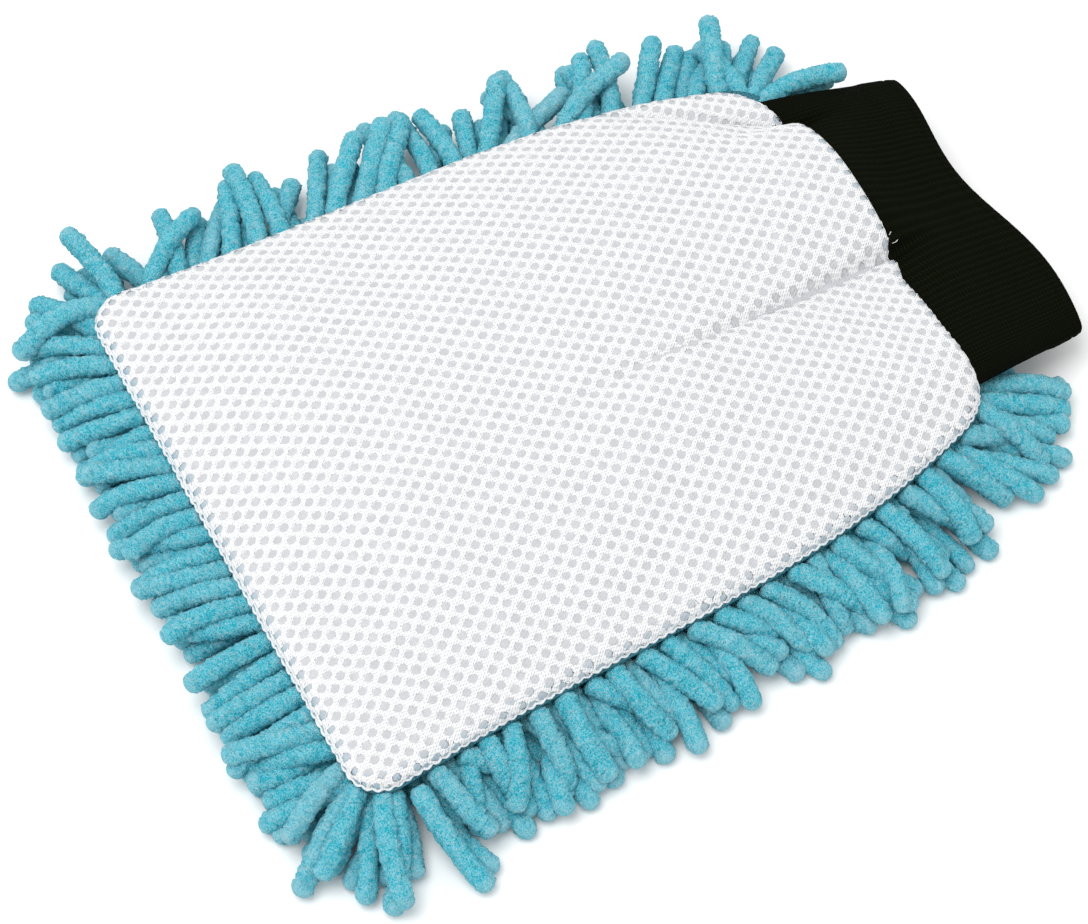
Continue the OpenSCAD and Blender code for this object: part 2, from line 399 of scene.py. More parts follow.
def net_cell(shape):
    """Rings of one net cell: its border, the shoulder of the yarn, the hole's rim and the yarn's inner side.

    The border is six-sided, and each corner is equally far from three holes. The hole is an ellipse that is
    drawn a little towards the border."""
    p, q = shape.hole_pitch / MM / 2, shape.hole_rows / MM
    peak = (p * p + q * q) / (2 * q)
    low = peak - p * p / q
    corner = np.array([[p, low], [0, peak], [-p, low], [-p, -low], [0, -peak], [p, -low]])
    middle = (corner + np.roll(corner, -1, 0)) / 2
    border = np.stack([corner, middle], 1).reshape(-1, 2)
    around = np.arctan2(border[:, 1] / peak, border[:, 0] / p)
    hole = np.column_stack([
        shape.hole_width / MM / 2 * np.cos(around), shape.hole_length / MM / 2 * np.sin(around)])
    hole = 0.85 * hole + 0.15 * border * 0.66
    shoulder = border * 0.40 + hole * 0.60
    return np.stack([border, shoulder, hole, hole * 0.90])


def net_lattice(shape):
    """Net cells on the flat cloth, welded along their borders: (points, heights, rings of point numbers)."""
    rings = net_cell(shape)
    centres = hole_centres(shape)
    rng = np.random.default_rng(SEED)
    cells, inner_rings, sides = len(centres), len(rings) - 1, rings.shape[1]
    size = 1 + SIZE_JITTER * rng.standard_normal((cells, 1, 1, 1))
    slip = SLIP * rng.standard_normal((cells, 1, 1, 2))
    own = RING_FREEDOM[None, :, None, None]
    cloth = centres[:, None, None, :] + rings[None] * (1 + (size - 1) * own) + slip * own
    key = np.round(cloth[:, 0].reshape(-1, 2) / WELD).astype(int)
    first, shared = np.unique(key, axis=0, return_index=True, return_inverse=True)[1:]
    border = cloth[:, 0].reshape(-1, 2)[first]
    inner = cloth[:, 1:].reshape(-1, 2)
    inner_index = len(border) + np.arange(len(inner)).reshape(cells, inner_rings, sides)
    index = np.concatenate([shared.reshape(cells, 1, sides), inner_index], 1)
    lift = np.concatenate([
        RING_HEIGHTS[0] + 0.10 * ripple(border[:, 0], border[:, 1], 3.1, 11),
        np.broadcast_to(RING_HEIGHTS[None, 1:, None], inner_index.shape).ravel()])
    return np.concatenate([border, inner]), lift, index


def build_net(shape, colours):
    """Net face: the lattice of cells, pulled in to the outline's hem and lifted off the panel."""
    flat, lift, index = net_lattice(shape)
    distance, foot, inward = to_edge(flat)
    hem = -ROLL_SPARE - NET_HEM
    flat = np.where((distance < hem)[:, None], foot + inward * hem, flat)
    points = panel_points(flat, lift, shape.crown / MM)[0]
    after = np.roll(index, -1, 2)
    quads = np.stack([index[:, :-1], after[:, :-1], after[:, 1:], index[:, 1:]], -1).reshape(-1, 4)
    quads = without_slivers(points, quads)
    used = np.unique(quads)
    renumber = np.zeros(len(points), int)
    renumber[used] = np.arange(len(used))
    net = add_piece(
        "mesh_net", points[used], renumber[quads], material=net_material(colours),
        values={"depth": lift[used]})
    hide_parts("mesh_face")
    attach(net, "mitt")


def panel_grid(step, margin):
    """Even grid over the flat cloth whose outer points are pulled in to the margin inside the outline.

    Rows near the ends start wider, so that they still fill the round corners once they are pulled in."""
    rows = np.arange(TIP_Y - 2, WRIST_Y + 2 + step, step)
    across = np.linspace(-1, 1, int(TIP_WIDTH / step))
    inside = np.clip(rows, TIP_Y + 0.01, WRIST_Y - 0.01)
    to_end = np.minimum(inside - TIP_Y, WRIST_Y - inside)
    reach = half_width(inside) + ROLL_SPARE + CORNER_SPARE * smooth(WRIST_CORNER, 0, to_end)
    x = across[None, :] * reach[:, None]
    flat = np.stack([x, np.broadcast_to(rows[:, None], x.shape)], -1).reshape(-1, 2)
    distance, foot, inward = to_edge(flat)
    flat = np.where((distance < margin)[:, None], foot + inward * margin, flat)
    return flat, grid_quads(len(rows), len(across))


def without_slivers(points, quads):
    """Quads that have an area."""
    a, b, c, d = (points[quads[:, i]] for i in range(4))
    return quads[np.linalg.norm(np.cross(c - a, d - b), axis=1) > 1e-4]


def build_backing(shape, colours):
    """Close-knit backing: the back panel's own surface, sunk a little under the net."""
    flat, quads = panel_grid(BACKING_STEP, -ROLL_SPARE - BACKING_HEM)
    points, inset = panel_points(flat, np.full(len(flat), -BACKING_SINK), shape.crown / MM)
    quads = without_slivers(points, quads)
    show = smooth(20, -30, flat[:, 0]) + smooth(-60, -110, flat[:, 1])
    backing = add_piece(
        "backing_sheet", points, quads, material=backing_material(colours),
        values={"inset": inset, "show": show})
    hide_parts("mesh_backing")
    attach(backing, "mitt")


GROUND_PAST, GROUND_THICK = 0.6, 1.1
ALLOWANCE_RING = np.array([1.0, 3.0, 5.0, 7.0, 8.6])
ALLOWANCE_OPEN = 10.0


def build_ground(colours):
    """Ground cloth of the palm: a thin closed sheet with a slight ripple that reaches just past the seam."""
    rows = np.linspace(TIP_Y + 0.05, WRIST_Y - 0.05, 150)
    across = np.linspace(-1, 1, 110)
    x = across[None, :] * (half_width(rows)[:, None] + GROUND_PAST)
    y = np.broadcast_to(rows[:, None], x.shape)
    top = GROUND_HIGH[2] + 0.15 * ripple(x, y, 20, 21)
    under = top - GROUND_THICK
    upper = np.stack([x, y, top], -1).reshape(-1, 3)
    lower = np.stack([x, y, under], -1).reshape(-1, 3)
    quads = grid_quads(len(rows), len(across))
    count = len(upper)
    index = np.arange(count).reshape(len(rows), len(across))
    rim = np.concatenate([index[0, :-1], index[:-1, -1], index[-1, :0:-1], index[:0:-1, 0]])
    after = np.roll(rim, -1)
    sides = np.stack([rim, rim + count, after + count, after], 1)
    ground = add_piece(
        "ground_cloth", np.concatenate([upper, lower]),
        np.concatenate([quads, quads[:, ::-1] + count, sides]), material=ground_material(colours))
    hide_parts("palm_ground")
    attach(ground, "mitt")


def build_allowance(colours):
    """Turned-in cloth: a thin strip along the outline, open across the wrist, with a wavy cut edge."""
    low, high = (corner[2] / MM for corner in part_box("seam_allowance"))
    open_y = WRIST_Y - ALLOWANCE_OPEN
    start = int(np.argmax(EDGE[:, 1] > open_y))
    stop = len(EDGE) - int(np.argmax(EDGE[::-1, 1] > open_y))
    foot, inward = (np.concatenate([line[stop:], line[:start]])[::3] for line in (EDGE, EDGE_IN))
    across = ALLOWANCE_RING
    ring = np.concatenate([across, across[::-1]])
    upper = np.repeat([0, 1], len(across))
    wavy = 0.4 * ripple(foot[:, 0], foot[:, 1], 14, 71)[:, None] * smooth(6, across[-1], ring)
    plan = foot[:, None] + inward[:, None] * (ring + wavy)[..., None]
    lift = 0.10 * ripple(plan[..., 0], plan[..., 1], 11, 73)
    z = np.where(upper, high - 0.1, low + 0.1) + lift
    points = np.concatenate([plan, z[..., None]], -1).reshape(-1, 3)
    sides = len(ring)
    i = np.arange(len(across) - 1)
    cap = np.stack([i, i + 1, sides - 2 - i, sides - 1 - i], 1)
    far = cap[:, ::-1] + len(points) - sides
    quads = np.concatenate([grid_quads(len(foot), sides, wrap=True), cap, far])
    allowance = add_piece("allowance_cloth", points, quads, material=ground_material(colours))
    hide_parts("seam_allowance")
    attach(allowance, "mitt")


# ---------------------------------------------------------------- noodles

NODES = 9
FIRST_DROP, LAYER_DROP = 3.0, 4.1
FIRST_SIDE_ROW = 2

# Layers of the two fingertip rows: inset of the roots, gap between noodles, how far they stop short, reach.
TIP_LAYERS = (
    (2.2, 6.5, 3.0, 0.88),
    (7.5, 6.7, 4.0, 0.93),
    (12.5, 7.5, 6.0, 0.95),
)
CORNER_LAYERS = (2, 3, 2)

# Fringe layers of a side row: inset of the root, place along the hand, spread of heading, last slope, reach.
LEFT_FRINGE = (
    (0.6, -1.6, 0.15, -0.16, 1.0),
    (4.6, 2.4, 0.15, -0.16, 1.0),
)
RIGHT_FRINGE = (
    (0.6, -1.6, 0.33, -0.78, 0.84),
    (4.6, 2.4, 0.25, -0.56, 0.95),
    (5.5, -0.6, 0.18, -0.25, 1.07),
)

# Single noodles that lie apart: row, root, layer, heading and bend in degrees, first and last slope, reach.
STRAYS = (
    (0, -91.5, -112.0, -0.9, -130.0, 76.0, 0.30, -0.30, 1.0),
    (0, -92.5, -108.0, -0.2, 166.0, 42.0, 0.10, 0.20, 0.9),
    (2, -92.5, -98.0, 0.0, 140.0, -22.0, 0.20, -0.10, 1.0),
    (0, 90.0, -112.0, -0.3, -22.0, 6.0, 0.0, -0.45, 1.03),
    (0, 80.0, -114.0, 0.1, -74.0, -30.0, 0.0, -0.50, 1.0),
    (2, 93.5, -103.0, 0.0, -8.0, 34.0, 0.05, -0.60, 1.06),
    (25, -61.0, 98.5, 0.0, 138.0, -96.0, 0.35, 0.15, 1.0),
    (25, -62.0, 94.0, 0.5, 98.0, -14.0, 0.05, 0.05, 1.0),
    (25, -62.0, 96.0, 0.2, 150.0, 52.0, 0.25, -0.10, 1.0),
    (25, 60.0, 100.0, 0.5, 58.0, 12.0, -0.05, -0.35, 1.0),
    (25, 57.0, 101.5, 1.1, 70.0, -8.0, -0.05, -0.20, 1.0),
)

# How chains keep their length: links apart, their rest distance in links, the share of an error put right.
LINKS = ((1, 1.0, 0.5), (2, 1.985, 0.35), (4, 3.93, 0.2))
TURNS, PAIR_TURNS, PAIR_SPARE = 100, 7, 2.5
PRESSED, PUSH, PUSH_MOST = 0.93, 0.30, 1.2
MEMORY, ROOT_HOLD = 0.03, 0.6
FLOOR_SHARE, CLOTH_SHARE = 0.96, 0.80


class Sewing:
    """Noodles sewn so far, and the random numbers that vary them.

    Each has a root, a heading and a bend in plan, a first and a last slope, a row, a mark that is 1 in the
    fringe and 0 under the palm, and a reach, which is its length as a share of the usual one."""

    KEYS = ("root", "heading", "bend", "start", "end", "row", "fringe", "reach")

    def __init__(self):
        self.rng = np.random.default_rng(SEED)
        self.made = {key: [] for key in self.KEYS}

    def sew(self, row, x, y, layer, heading, start, end, fringe=1, bend=None, reach=None):
        """Adds one noodle; each layer lies under the one before."""
        height = GROUND_Z - FIRST_DROP - LAYER_DROP * layer
        bend = self.rng.normal(0, 0.16) if bend is None else bend
        reach = 1 + 0.05 * self.rng.standard_normal() if reach is None else reach
        values = ((x, y, height), heading, bend, start, end, row, fringe, reach)
        for key, value in zip(self.KEYS, values):
            self.made[key].append(value)


def sew_fingertips(sewing):
    """Rows across the fingertips: their noodles head forwards, lean in clumps and fan out at the corners."""
    rng = sewing.rng
    for layer, (inset, gap, short, usual) in enumerate(TIP_LAYERS):
        y = TIP_Y + inset
        reach = float(half_width(y)) - short
        count = int(2 * reach / gap)
        for i in range(count + 1):
            share = 2 * (i + 0.5 * (layer % 2)) / count - 1
            if share > 1:
                continue
            lean = 0.10 * share + 0.75 * np.sign(share) * abs(share) ** 9
            clump = 0.24 * float(ripple(share * reach, 9.0 * layer, 45, 61))
            heading = -np.pi / 2 + lean - 0.10 + clump + rng.normal(0, 0.13)
            long = usual * (1 + 0.05 * rng.standard_normal())
            end = rng.normal(-0.34, 0.16)
            sewing.sew(min(layer, 1), share * reach, y, layer, heading, 0.04, end, reach=long)


def sew_corners(sewing):
    """Noodles round the two fingertip corners: each heads straight out of its corner."""
    rng = sewing.rng
    for side in (-1, 1):
        for layer, count in enumerate(CORNER_LAYERS):
            turns = np.linspace(22 - 12 * (layer % 2), 68 + 12 * (layer % 2), count)
            for turn in np.radians(turns + rng.normal(0, 8, count)):
                out = 10.0 - 3.0 * layer
                x = side * (TIP_WIDTH / 2 - TIP_CORNER + out * np.cos(turn))
                y = TIP_Y + TIP_CORNER - out * np.sin(turn)
                heading = -turn if side > 0 else np.pi + turn
                end = rng.normal(-0.40, 0.14)
                bend = rng.normal(0, 0.35)
                long = 0.92 + 0.09 * rng.standard_normal()
                sewing.sew(min(layer, 1), x, y, layer + 0.2, heading, 0.0, end, bend=bend, reach=long)


def outwards(side, heading):
    """The heading on the right side, and its mirror image on the left."""
    return heading if side > 0 else np.pi - heading


def sew_half_row(sewing, number, side):
    """Fringe and palm noodles of one side of a row: they head outwards, then more to the wrist row by row."""
    rng = sewing.rng
    y = ROW_Y[ROWS[number]]
    t = (y - TIP_Y) / PANEL_LENGTH
    half = float(half_width(y))
    if side > 0:
        fan = -0.12 + 0.40 * float(smooth(0.02, 0.18, t)) + 0.45 * t**2.2
        layers, clumping, bending = RIGHT_FRINGE, 0.55, 0.32
    else:
        fan = 0.26 + 0.34 * t
        layers, clumping, bending = LEFT_FRINGE, 0.15, 0.42
    for layer, (inset, place, spread, last, usual) in enumerate(layers):
        offset = place + rng.normal(0, 0.4)
        clump = float(ripple(y, 40.0 * layer + 9 * side, 38, 67))
        heading = fan + clumping * clump + rng.normal(0, spread)
        long = usual * (1 + 0.06 * rng.standard_normal())
        bend = rng.normal(0, bending)
        end = last + rng.normal(0, 0.15)
        x = side * (half - inset)
        sewing.sew(number, x, y + offset, layer, outwards(side, heading), 0.05, end, 1, bend, long)
    for inset in np.arange(17.0, half - 3, 11.0):
        x = side * (half - inset - 5.5 * (number % 2))
        if side * x > 3:
            heading = fan + rng.normal(0, 0.2)
            sewing.sew(number, x, y, 0.3, outwards(side, heading), -0.1, -0.5, 0)


def sew_palm(sewing):
    """Noodles down the middle of the palm, and two lines of them that hang forwards behind the fingertips."""
    rng = sewing.rng
    for number in range(FIRST_SIDE_ROW, len(ROWS)):
        side = 1 if number % 2 else -1
        for x in (11.0, 3.0):
            heading = (np.pi if side > 0 else 0) + rng.normal(0, 0.3)
            y = ROW_Y[ROWS[number]] + rng.normal(0, 1)
            sewing.sew(number, side * x, y, 0.6, heading, -0.25, -0.45, 0)
    for i in range(-9, 10):
        for number, layer in ((2, 1.9), (3, 1.3)):
            heading = -np.pi / 2 + rng.normal(0, 0.12)
            x = (i + 0.5 * (number - 2)) * 8.6
            sewing.sew(number, x, ROW_Y[ROWS[number]], layer, heading, -0.1, -0.3, 0)


def noodle_roots():
    """Every noodle as it is sewn to the stitched rows of the frame, before it is laid to rest."""
    sewing = Sewing()
    sew_fingertips(sewing)
    sew_corners(sewing)
    for number in range(FIRST_SIDE_ROW, len(ROWS)):
        for side in (-1, 1):
            sew_half_row(sewing, number, side)
    sew_palm(sewing)
    for row, x, y, layer, heading, bend, start, end, reach in STRAYS:
        sewing.sew(row, x, y, layer, np.radians(heading), start, end, 1, np.radians(bend), reach)
    return {key: np.array(value) for key, value in sewing.made.items()}


def planned_chains(sewn, link):
    """Chains as sewn: equal links along a heading that turns evenly and a slope that eases off."""
    s = np.linspace(0, 1, NODES)
    heading = sewn["heading"][:, None] + sewn["bend"][:, None] * s[None]
    slope = sewn["start"][:, None] + (sewn["end"] - sewn["start"])[:, None] * (s * (2 - s))[None]
    step = np.stack([np.cos(heading) * np.cos(slope), np.sin(heading) * np.cos(slope), np.sin(slope)], -1)
    size = link[:, None, None]
    return sewn["root"][:, None] + np.cumsum(step * size, 1) - step[:, :1] * size


def push_apart(points, pair_a, pair_b, reach):
    """Moves each pair of points that is closer than the reach apart, along the line between them."""
    gap = points[pair_a] - points[pair_b]
    far = np.linalg.norm(gap, axis=1)
    push = np.clip(reach - far, 0, PUSH_MOST)[:, None] * gap / np.maximum(far, 0.05)[:, None] * PUSH
    np.add.at(points, pair_a, push)
    np.add.at(points, pair_b, -push)


def over_floor(points, radius):
    """Keeps points a noodle's radius over the floor, less the little that its pile is pressed."""
    points[..., 2] = np.maximum(points[..., 2], radius * FLOOR_SHARE)


def lay_noodles(shape):
    """Noodles laid to rest: (what was sewn, their centrelines).

    A centreline is a chain that keeps its length and its stiffness. In every turn the chains push each other
    apart, come back a little to where they were sewn, and stay at their root, over the floor and under the
    cloth."""
    sewn = noodle_roots()
    count = len(sewn["root"])
    radius = shape.noodle_diameter / MM / 2
    link = (shape.noodle_length / MM - radius) * sewn["reach"] / (NODES - 1)
    chain = planned_chains(sewn, link)
    over_floor(chain, radius)
    plan = chain.reshape(-1, 3).copy()
    first, second = chain[:, 0].copy(), chain[:, 1].copy()
    owner = np.repeat(np.arange(count), NODES)
    place = np.broadcast_to(np.arange(NODES), (count, NODES)).ravel()
    reach = 2 * radius * PRESSED
    flat = chain.reshape(-1, 3)
    for turn in range(TURNS):
        if turn % PAIR_TURNS == 0:
            pair_a, pair_b = near_pairs(flat, owner, place, reach + PAIR_SPARE)
        push_apart(flat, pair_a, pair_b, reach)
        flat += MEMORY * (plan - flat)
        chain = flat.reshape(count, NODES, 3)
        soften(chain, 0.35)
        for _ in range(3):
            for apart, rest, share in LINKS:
                keep_links(chain, link * rest, apart, share)
            chain[:, 0] = first
            chain[:, 1] += ROOT_HOLD * (second - chain[:, 1])
        flat = chain.reshape(-1, 3)
        over_floor(flat, radius)
        under_cloth(flat, radius)
    chain = flat.reshape(count, NODES, 3)
    for _ in range(3):
        soften(chain, 0.5)
    over_floor(chain, radius)
    return sewn, chain


def near_pairs(points, owner, place, within):
    """Pairs of chain points of different noodles that are close together; two sewn ends make no pair."""
    order = np.argsort(points[:, 1], kind="stable")
    y = points[order, 1]
    found_a, found_b = [], []
    for shift in range(1, len(order)):
        if np.min(y[shift:] - y[:-shift]) > within:
            break
        a, b = order[shift:], order[:-shift]
        close = (y[shift:] - y[:-shift] < within) & (np.abs(points[a, 0] - points[b, 0]) < within)
        close &= (owner[a] != owner[b]) & ((place[a] > 0) | (place[b] > 0))
        found_a.append(a[close])
        found_b.append(b[close])
    return np.concatenate(found_a), np.concatenate(found_b)


def soften(chain, share):
    """Moves each inner chain point part of the way to the middle of its neighbours: the noodle's stiffness."""
    chain[:, 1:-1] += share * ((chain[:, :-2] + chain[:, 2:]) / 2 - chain[:, 1:-1])


def keep_links(chain, rest, apart, share):
    """Moves chain points that are a number of links apart back towards their rest distance.

    Next neighbours keep it exactly; points further apart are only kept from folding closer than it."""
    gap = chain[:, apart:] - chain[:, :-apart]
    far = np.linalg.norm(gap, axis=-1, keepdims=True)
    rest = rest[:, None, None]
    wrong = (far - rest) if apart == 1 else np.minimum(far - rest, 0)
    fix = gap / np.maximum(far, 1e-6) * wrong * share
    chain[:, apart:] -= fix
    chain[:, :-apart] += fix


def under_cloth(points, radius):
    """Keeps points that are under the panel below its ground cloth."""
    inside = (np.abs(points[:, 0]) < half_width(points[:, 1]) + 1.0) & (points[:, 1] > TIP_Y - 1)
    inside &= points[:, 1] < WRIST_Y
    points[inside, 2] = np.minimum(points[inside, 2], GROUND_Z - radius * CLOTH_SHARE)


def smooth_path(chain, stations):
    """Catmull-Rom curve through each chain, at the given fractions of its length."""
    padded = np.concatenate([2 * chain[:, :1] - chain[:, 1:2], chain, 2 * chain[:, -1:] - chain[:, -2:-1]], 1)
    at = np.clip(stations, 0, 1) * (NODES - 1)
    k = np.minimum(at.astype(int), NODES - 2)
    f = (at - k)[None, :, None]
    a, b, c, d = (padded[:, k + i] for i in range(4))
    return 0.5 * (2 * b + (c - a) * f + (2 * a - 5 * b + 4 * c - d) * f**2 + (3 * b - a - 3 * c + d) * f**3)


def blurred(noise, turns):
    """Noise over rings and sides, averaged with its neighbours a number of times; the sides wrap round."""
    for _ in range(turns):
        noise = (noise + np.roll(noise, 1, 2) + np.roll(noise, -1, 2)) / 3
        inner = (noise[:, 2:] + noise[:, 1:-1] + noise[:, :-2]) / 3
        noise = np.concatenate([noise[:, :1], inner, noise[:, -1:]], 1)
    return noise


CAP_RINGS = 5
ROOT_TAPER = np.array([0.72, 0.86, 0.95, 1.0])
TUFT, FINE, LUMP, BEAD, BEAD_LENGTH = 0.42, 0.17, 0.18, 0.04, 1.7
FRINGE_RINGS, FRINGE_SIDES = 56, 24
PALM_RINGS, PALM_SIDES = 20, 12


def noodle_paths(chain, radius, rings):
    """Stations, girth, path and section directions of round-ended noodles, and their mean length."""
    cap = np.radians(np.linspace(0, 90, CAP_RINGS + 1))[1:]
    length = np.linalg.norm(np.diff(chain, axis=1), axis=-1).sum(1).mean() + radius
    cap_share = radius / length
    along = np.concatenate([np.linspace(0, 1 - cap_share, rings), 1 - cap_share + cap_share * np.sin(cap)])
    girth = np.concatenate([np.ones(rings), np.cos(cap)])
    girth[:len(ROOT_TAPER)] *= ROOT_TAPER
    path = smooth_path(chain, along)
    tangent = unit(np.gradient(path, axis=1))
    heading = chain[:, -1] - chain[:, 0]
    side = unit(np.stack([-heading[:, 1], heading[:, 0], np.zeros(len(chain))], -1))[:, None]
    side = unit(side - (side * tangent).sum(-1, keepdims=True) * tangent)
    return along, girth, path, side, np.cross(tangent, side), length


def capped_faces(rings, sides):
    """Quads between the rings of one skin, and the fans that close it at its tip pole and its root pole."""
    fan = np.arange(sides)
    last, pole = (rings - 1) * sides, rings * sides
    tip = np.stack([last + fan, last + np.roll(fan, -1), np.full(sides, pole)], 1)
    root = np.stack([np.roll(fan, -1), fan, np.full(sides, pole + 1)], 1)
    return grid_quads(rings, sides, wrap=True), np.concatenate([tip, root])


def noodle_skins(chain, radius, rings, sides, seed):
    """Round-ended fuzzy tubes along the chains.

    A circle is carried along each path, with blurred noise on its radius for tufts and lumps, and beading."""
    rng = np.random.default_rng(seed)
    count = len(chain)
    along, girth, path, side, up, length = noodle_paths(chain, radius, rings)
    cells = (count, len(along), sides)
    tuft = blurred(rng.standard_normal(cells), 1) * TUFT
    tuft = tuft + FINE * rng.standard_normal(cells)
    lump = blurred(rng.standard_normal(cells), 5) * LUMP
    bead = BEAD * np.sin(along * length / BEAD_LENGTH * 2 * np.pi + rng.uniform(0, 6, (count, 1)))[..., None]
    own = radius * (1 + 0.04 * rng.standard_normal((count, 1, 1)))
    around = np.linspace(0, 2 * np.pi, sides, endpoint=False)
    size = (own + (tuft + lump + bead) * np.minimum(1, girth * 1.5)[None, :, None]) * girth[None, :, None]
    ring = np.cos(around)[:, None] * side[:, :, None] + np.sin(around)[:, None] * up[:, :, None]
    points = path[:, :, None] + ring * size[..., None]
    points[:, -1] = path[:, -1:]
    points[..., 2] = np.maximum(points[..., 2], 0.05)
    skin = np.concatenate([points[:, :-1].reshape(count, -1, 3), points[:, -1, :1], path[:, :1]], 1)
    quads, triangles = capped_faces(len(along) - 1, sides)
    offset = (np.arange(count) * skin.shape[1])[:, None, None]
    share = np.concatenate([np.repeat(along[:-1], sides), [1.0, 0.0]])
    raised = np.concatenate([tuft[:, :-1].reshape(count, -1), np.zeros((count, 2))], 1)
    return {
        "points": skin.reshape(-1, 3),
        "quads": (quads[None] + offset).reshape(-1, 4),
        "triangles": (triangles[None] + offset).reshape(-1, 3),
        "along": np.tile(share, count),
        "tone": np.repeat(rng.normal(0, 1, count), skin.shape[1]),
        "pile": raised.ravel(),
    }


def joined(parts):
    """Several skins as one, with their faces renumbered."""
    start = np.cumsum([0] + [len(p["points"]) for p in parts[:-1]])
    out = {key: np.concatenate([p[key] for p in parts]) for key in ("points", "along", "tone", "pile")}
    for key in ("quads", "triangles"):
        out[key] = np.concatenate([p[key] + first for p, first in zip(parts, start)])
    return out


def build_noodles(shape, colours):
    """One piece per stitched row: fine skins on the noodles of the fringe, light ones under the palm."""
    sewn, chain = lay_noodles(shape)
    radius = shape.noodle_diameter / MM / 2
    material = chenille_material(colours)
    for number, name in enumerate(ROWS):
        mine = sewn["row"] == number
        parts = []
        for fringe, rings, sides in ((1, FRINGE_RINGS, FRINGE_SIDES), (0, PALM_RINGS, PALM_SIDES)):
            chosen = mine & (sewn["fringe"] == fringe)
            if chosen.any():
                parts.append(noodle_skins(chain[chosen], radius, rings, sides, SEED + 10 * number + fringe))
        skin = joined(parts)
        row = add_piece(
            "chenille_" + name[-2:], skin["points"], skin["quads"], skin["triangles"], material,
            values={key: skin[key] for key in ("along", "tone", "pile")})
        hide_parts(name)
        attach(row, "mitt")


# ---------------------------------------------------------------- stitches


def tube(path, radius, sides=6, closed=False):
    """Plain tube along a path of points, with flat pole caps where it is open."""
    step = np.roll(path, -1, 0) - np.roll(path, 1, 0)
    if not closed:
        step[0], step[-1] = path[1] - path[0], path[-1] - path[-2]
    tangent = unit(step)
    side = unit(np.cross(tangent, np.array([0, 0, 1.0])) + 1e-6)
    up = np.cross(side, tangent)
    around = np.linspace(0, 2 * np.pi, sides, endpoint=False)
    ring = np.cos(around)[:, None] * side[:, None] + np.sin(around)[:, None] * up[:, None]
    points = (path[:, None] + radius * ring).reshape(-1, 3)
    quads = grid_quads(len(path) + closed, sides, wrap=True) % len(points)
    if closed:
        return points, quads[:, ::-1], np.zeros((0, 3), int)
    fan = np.arange(sides)
    last = len(points) - sides
    caps = np.concatenate([
        np.stack([fan, np.roll(fan, -1), np.full(sides, len(points))], 1),
        np.stack([last + np.roll(fan, -1), last + fan, np.full(sides, len(points) + 1)], 1)])
    return np.concatenate([points, path[:1], path[-1:]]), quads[:, ::-1], caps[:, ::-1]


STITCH_PITCH, STITCH_RADIUS, STITCH_OPEN = 3.1, 0.46, 4.0
STITCH_COLOUR = (0.86, 0.89, 0.92)
TAIL_RADIUS = 0.10

# Loose thread ends at the wrist: place across, height, turns of the curl, its size, and the lean to one side.
THREAD_TAILS = ((6.6, 23.8, 0.55, 0.7, 0.5), (5.0, 25.2, 0.80, 0.5, -0.3))


def stitch_path():
    """Path of the closing thread: it loops out and in along the sewn edge, open across the wrist."""
    along = np.concatenate([[0], np.cumsum(np.linalg.norm(np.diff(EDGE, axis=0), axis=1))])
    total = along[-1]
    wrist = EDGE[:, 1] > WRIST_Y - STITCH_OPEN
    first, last = along[wrist].min(), along[wrist].max()
    s = np.arange(last, total + first, 0.35)
    foot = np.stack([np.interp(s % total, along, EDGE[:, i]) for i in (0, 1)], 1)
    inward = unit(np.stack([np.interp(s % total, along, EDGE_IN[:, i]) for i in (0, 1)], 1))
    wave = 2 * np.pi * s / STITCH_PITCH
    out = 0.42 * np.abs(np.sin(wave / 2)) + 0.10 * ripple(s, 0 * s, 17, 31)
    plan = foot - inward * (out - 0.35)[:, None]
    plan = plan - wrist_recess(plan[:, 0], plan[:, 1])[:, None] * (0, 1)
    return np.column_stack([plan, SEAM_Z - 0.15 + 0.35 * np.cos(wave)])


def thread_tail(x, low, turns, size, lean):
    """Path of a loose thread end: a curl that widens as it leaves the wrist and leans to one side."""
    t = np.linspace(0, 1, 24)
    curl = 2 * np.pi * turns * t
    across = x + lean * 2 * t + size * np.sin(curl) * t
    return np.stack([across, WRIST_Y - 0.8 + 2.6 * t, low + size * (1 - np.cos(curl))], 1)


def build_edge_stitches():
    """Closing stitches of the mitt, with the two loose thread ends."""
    tubes = [tube(stitch_path(), STITCH_RADIUS)]
    tubes += [tube(thread_tail(*tail), TAIL_RADIUS) for tail in THREAD_TAILS]
    first = np.cumsum([0] + [len(part[0]) for part in tubes[:-1]])
    points = np.concatenate([part[0] for part in tubes])
    quads, caps = (np.concatenate([part[i] + at for part, at in zip(tubes, first)]) for i in (1, 2))
    stitches = add_piece("edge_stitches", points, quads, caps, thread_material("White thread", STITCH_COLOUR))
    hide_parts("edge_seam_thread")
    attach(stitches, "mitt")


# ---------------------------------------------------------------- cuff

CUFF_ROOT_WIDTH, CUFF_END_WIDTH = 121.0, 107.5
CUFF_FROM = WRIST_Y - 8.0
CUFF_LENGTH = 36.5
CUFF_SHIFT = 2.8
KNIT_THICK, CUFF_HOLLOW = 1.05, 1.0
CUFF_AROUND, CUFF_STEPS = 384, 60
CUFF_MAP = (0.24, 0.044)
RIBS = 96

# Threads in the cuff: kind, part of the frame, body, slot, colour, depth in the wall, places along the cuff.
CUFF_THREADS = (
    ("elastic", "cuff_elastic", "cuff", "elastic", (0.03, 0.03, 0.03), 1.55, (0.88, 0.81, 0.74)),
    ("join", "cuff_join_thread", "mitt", "dark_thread", (0.008, 0.008, 0.007), 0.9, (0.10,)),
)


def end_wave(x):
    """How far the cuff's open end stands past its average length."""
    return 2.6 * np.cos(np.radians(4.5 * (x - 30))) + 0.03 * x


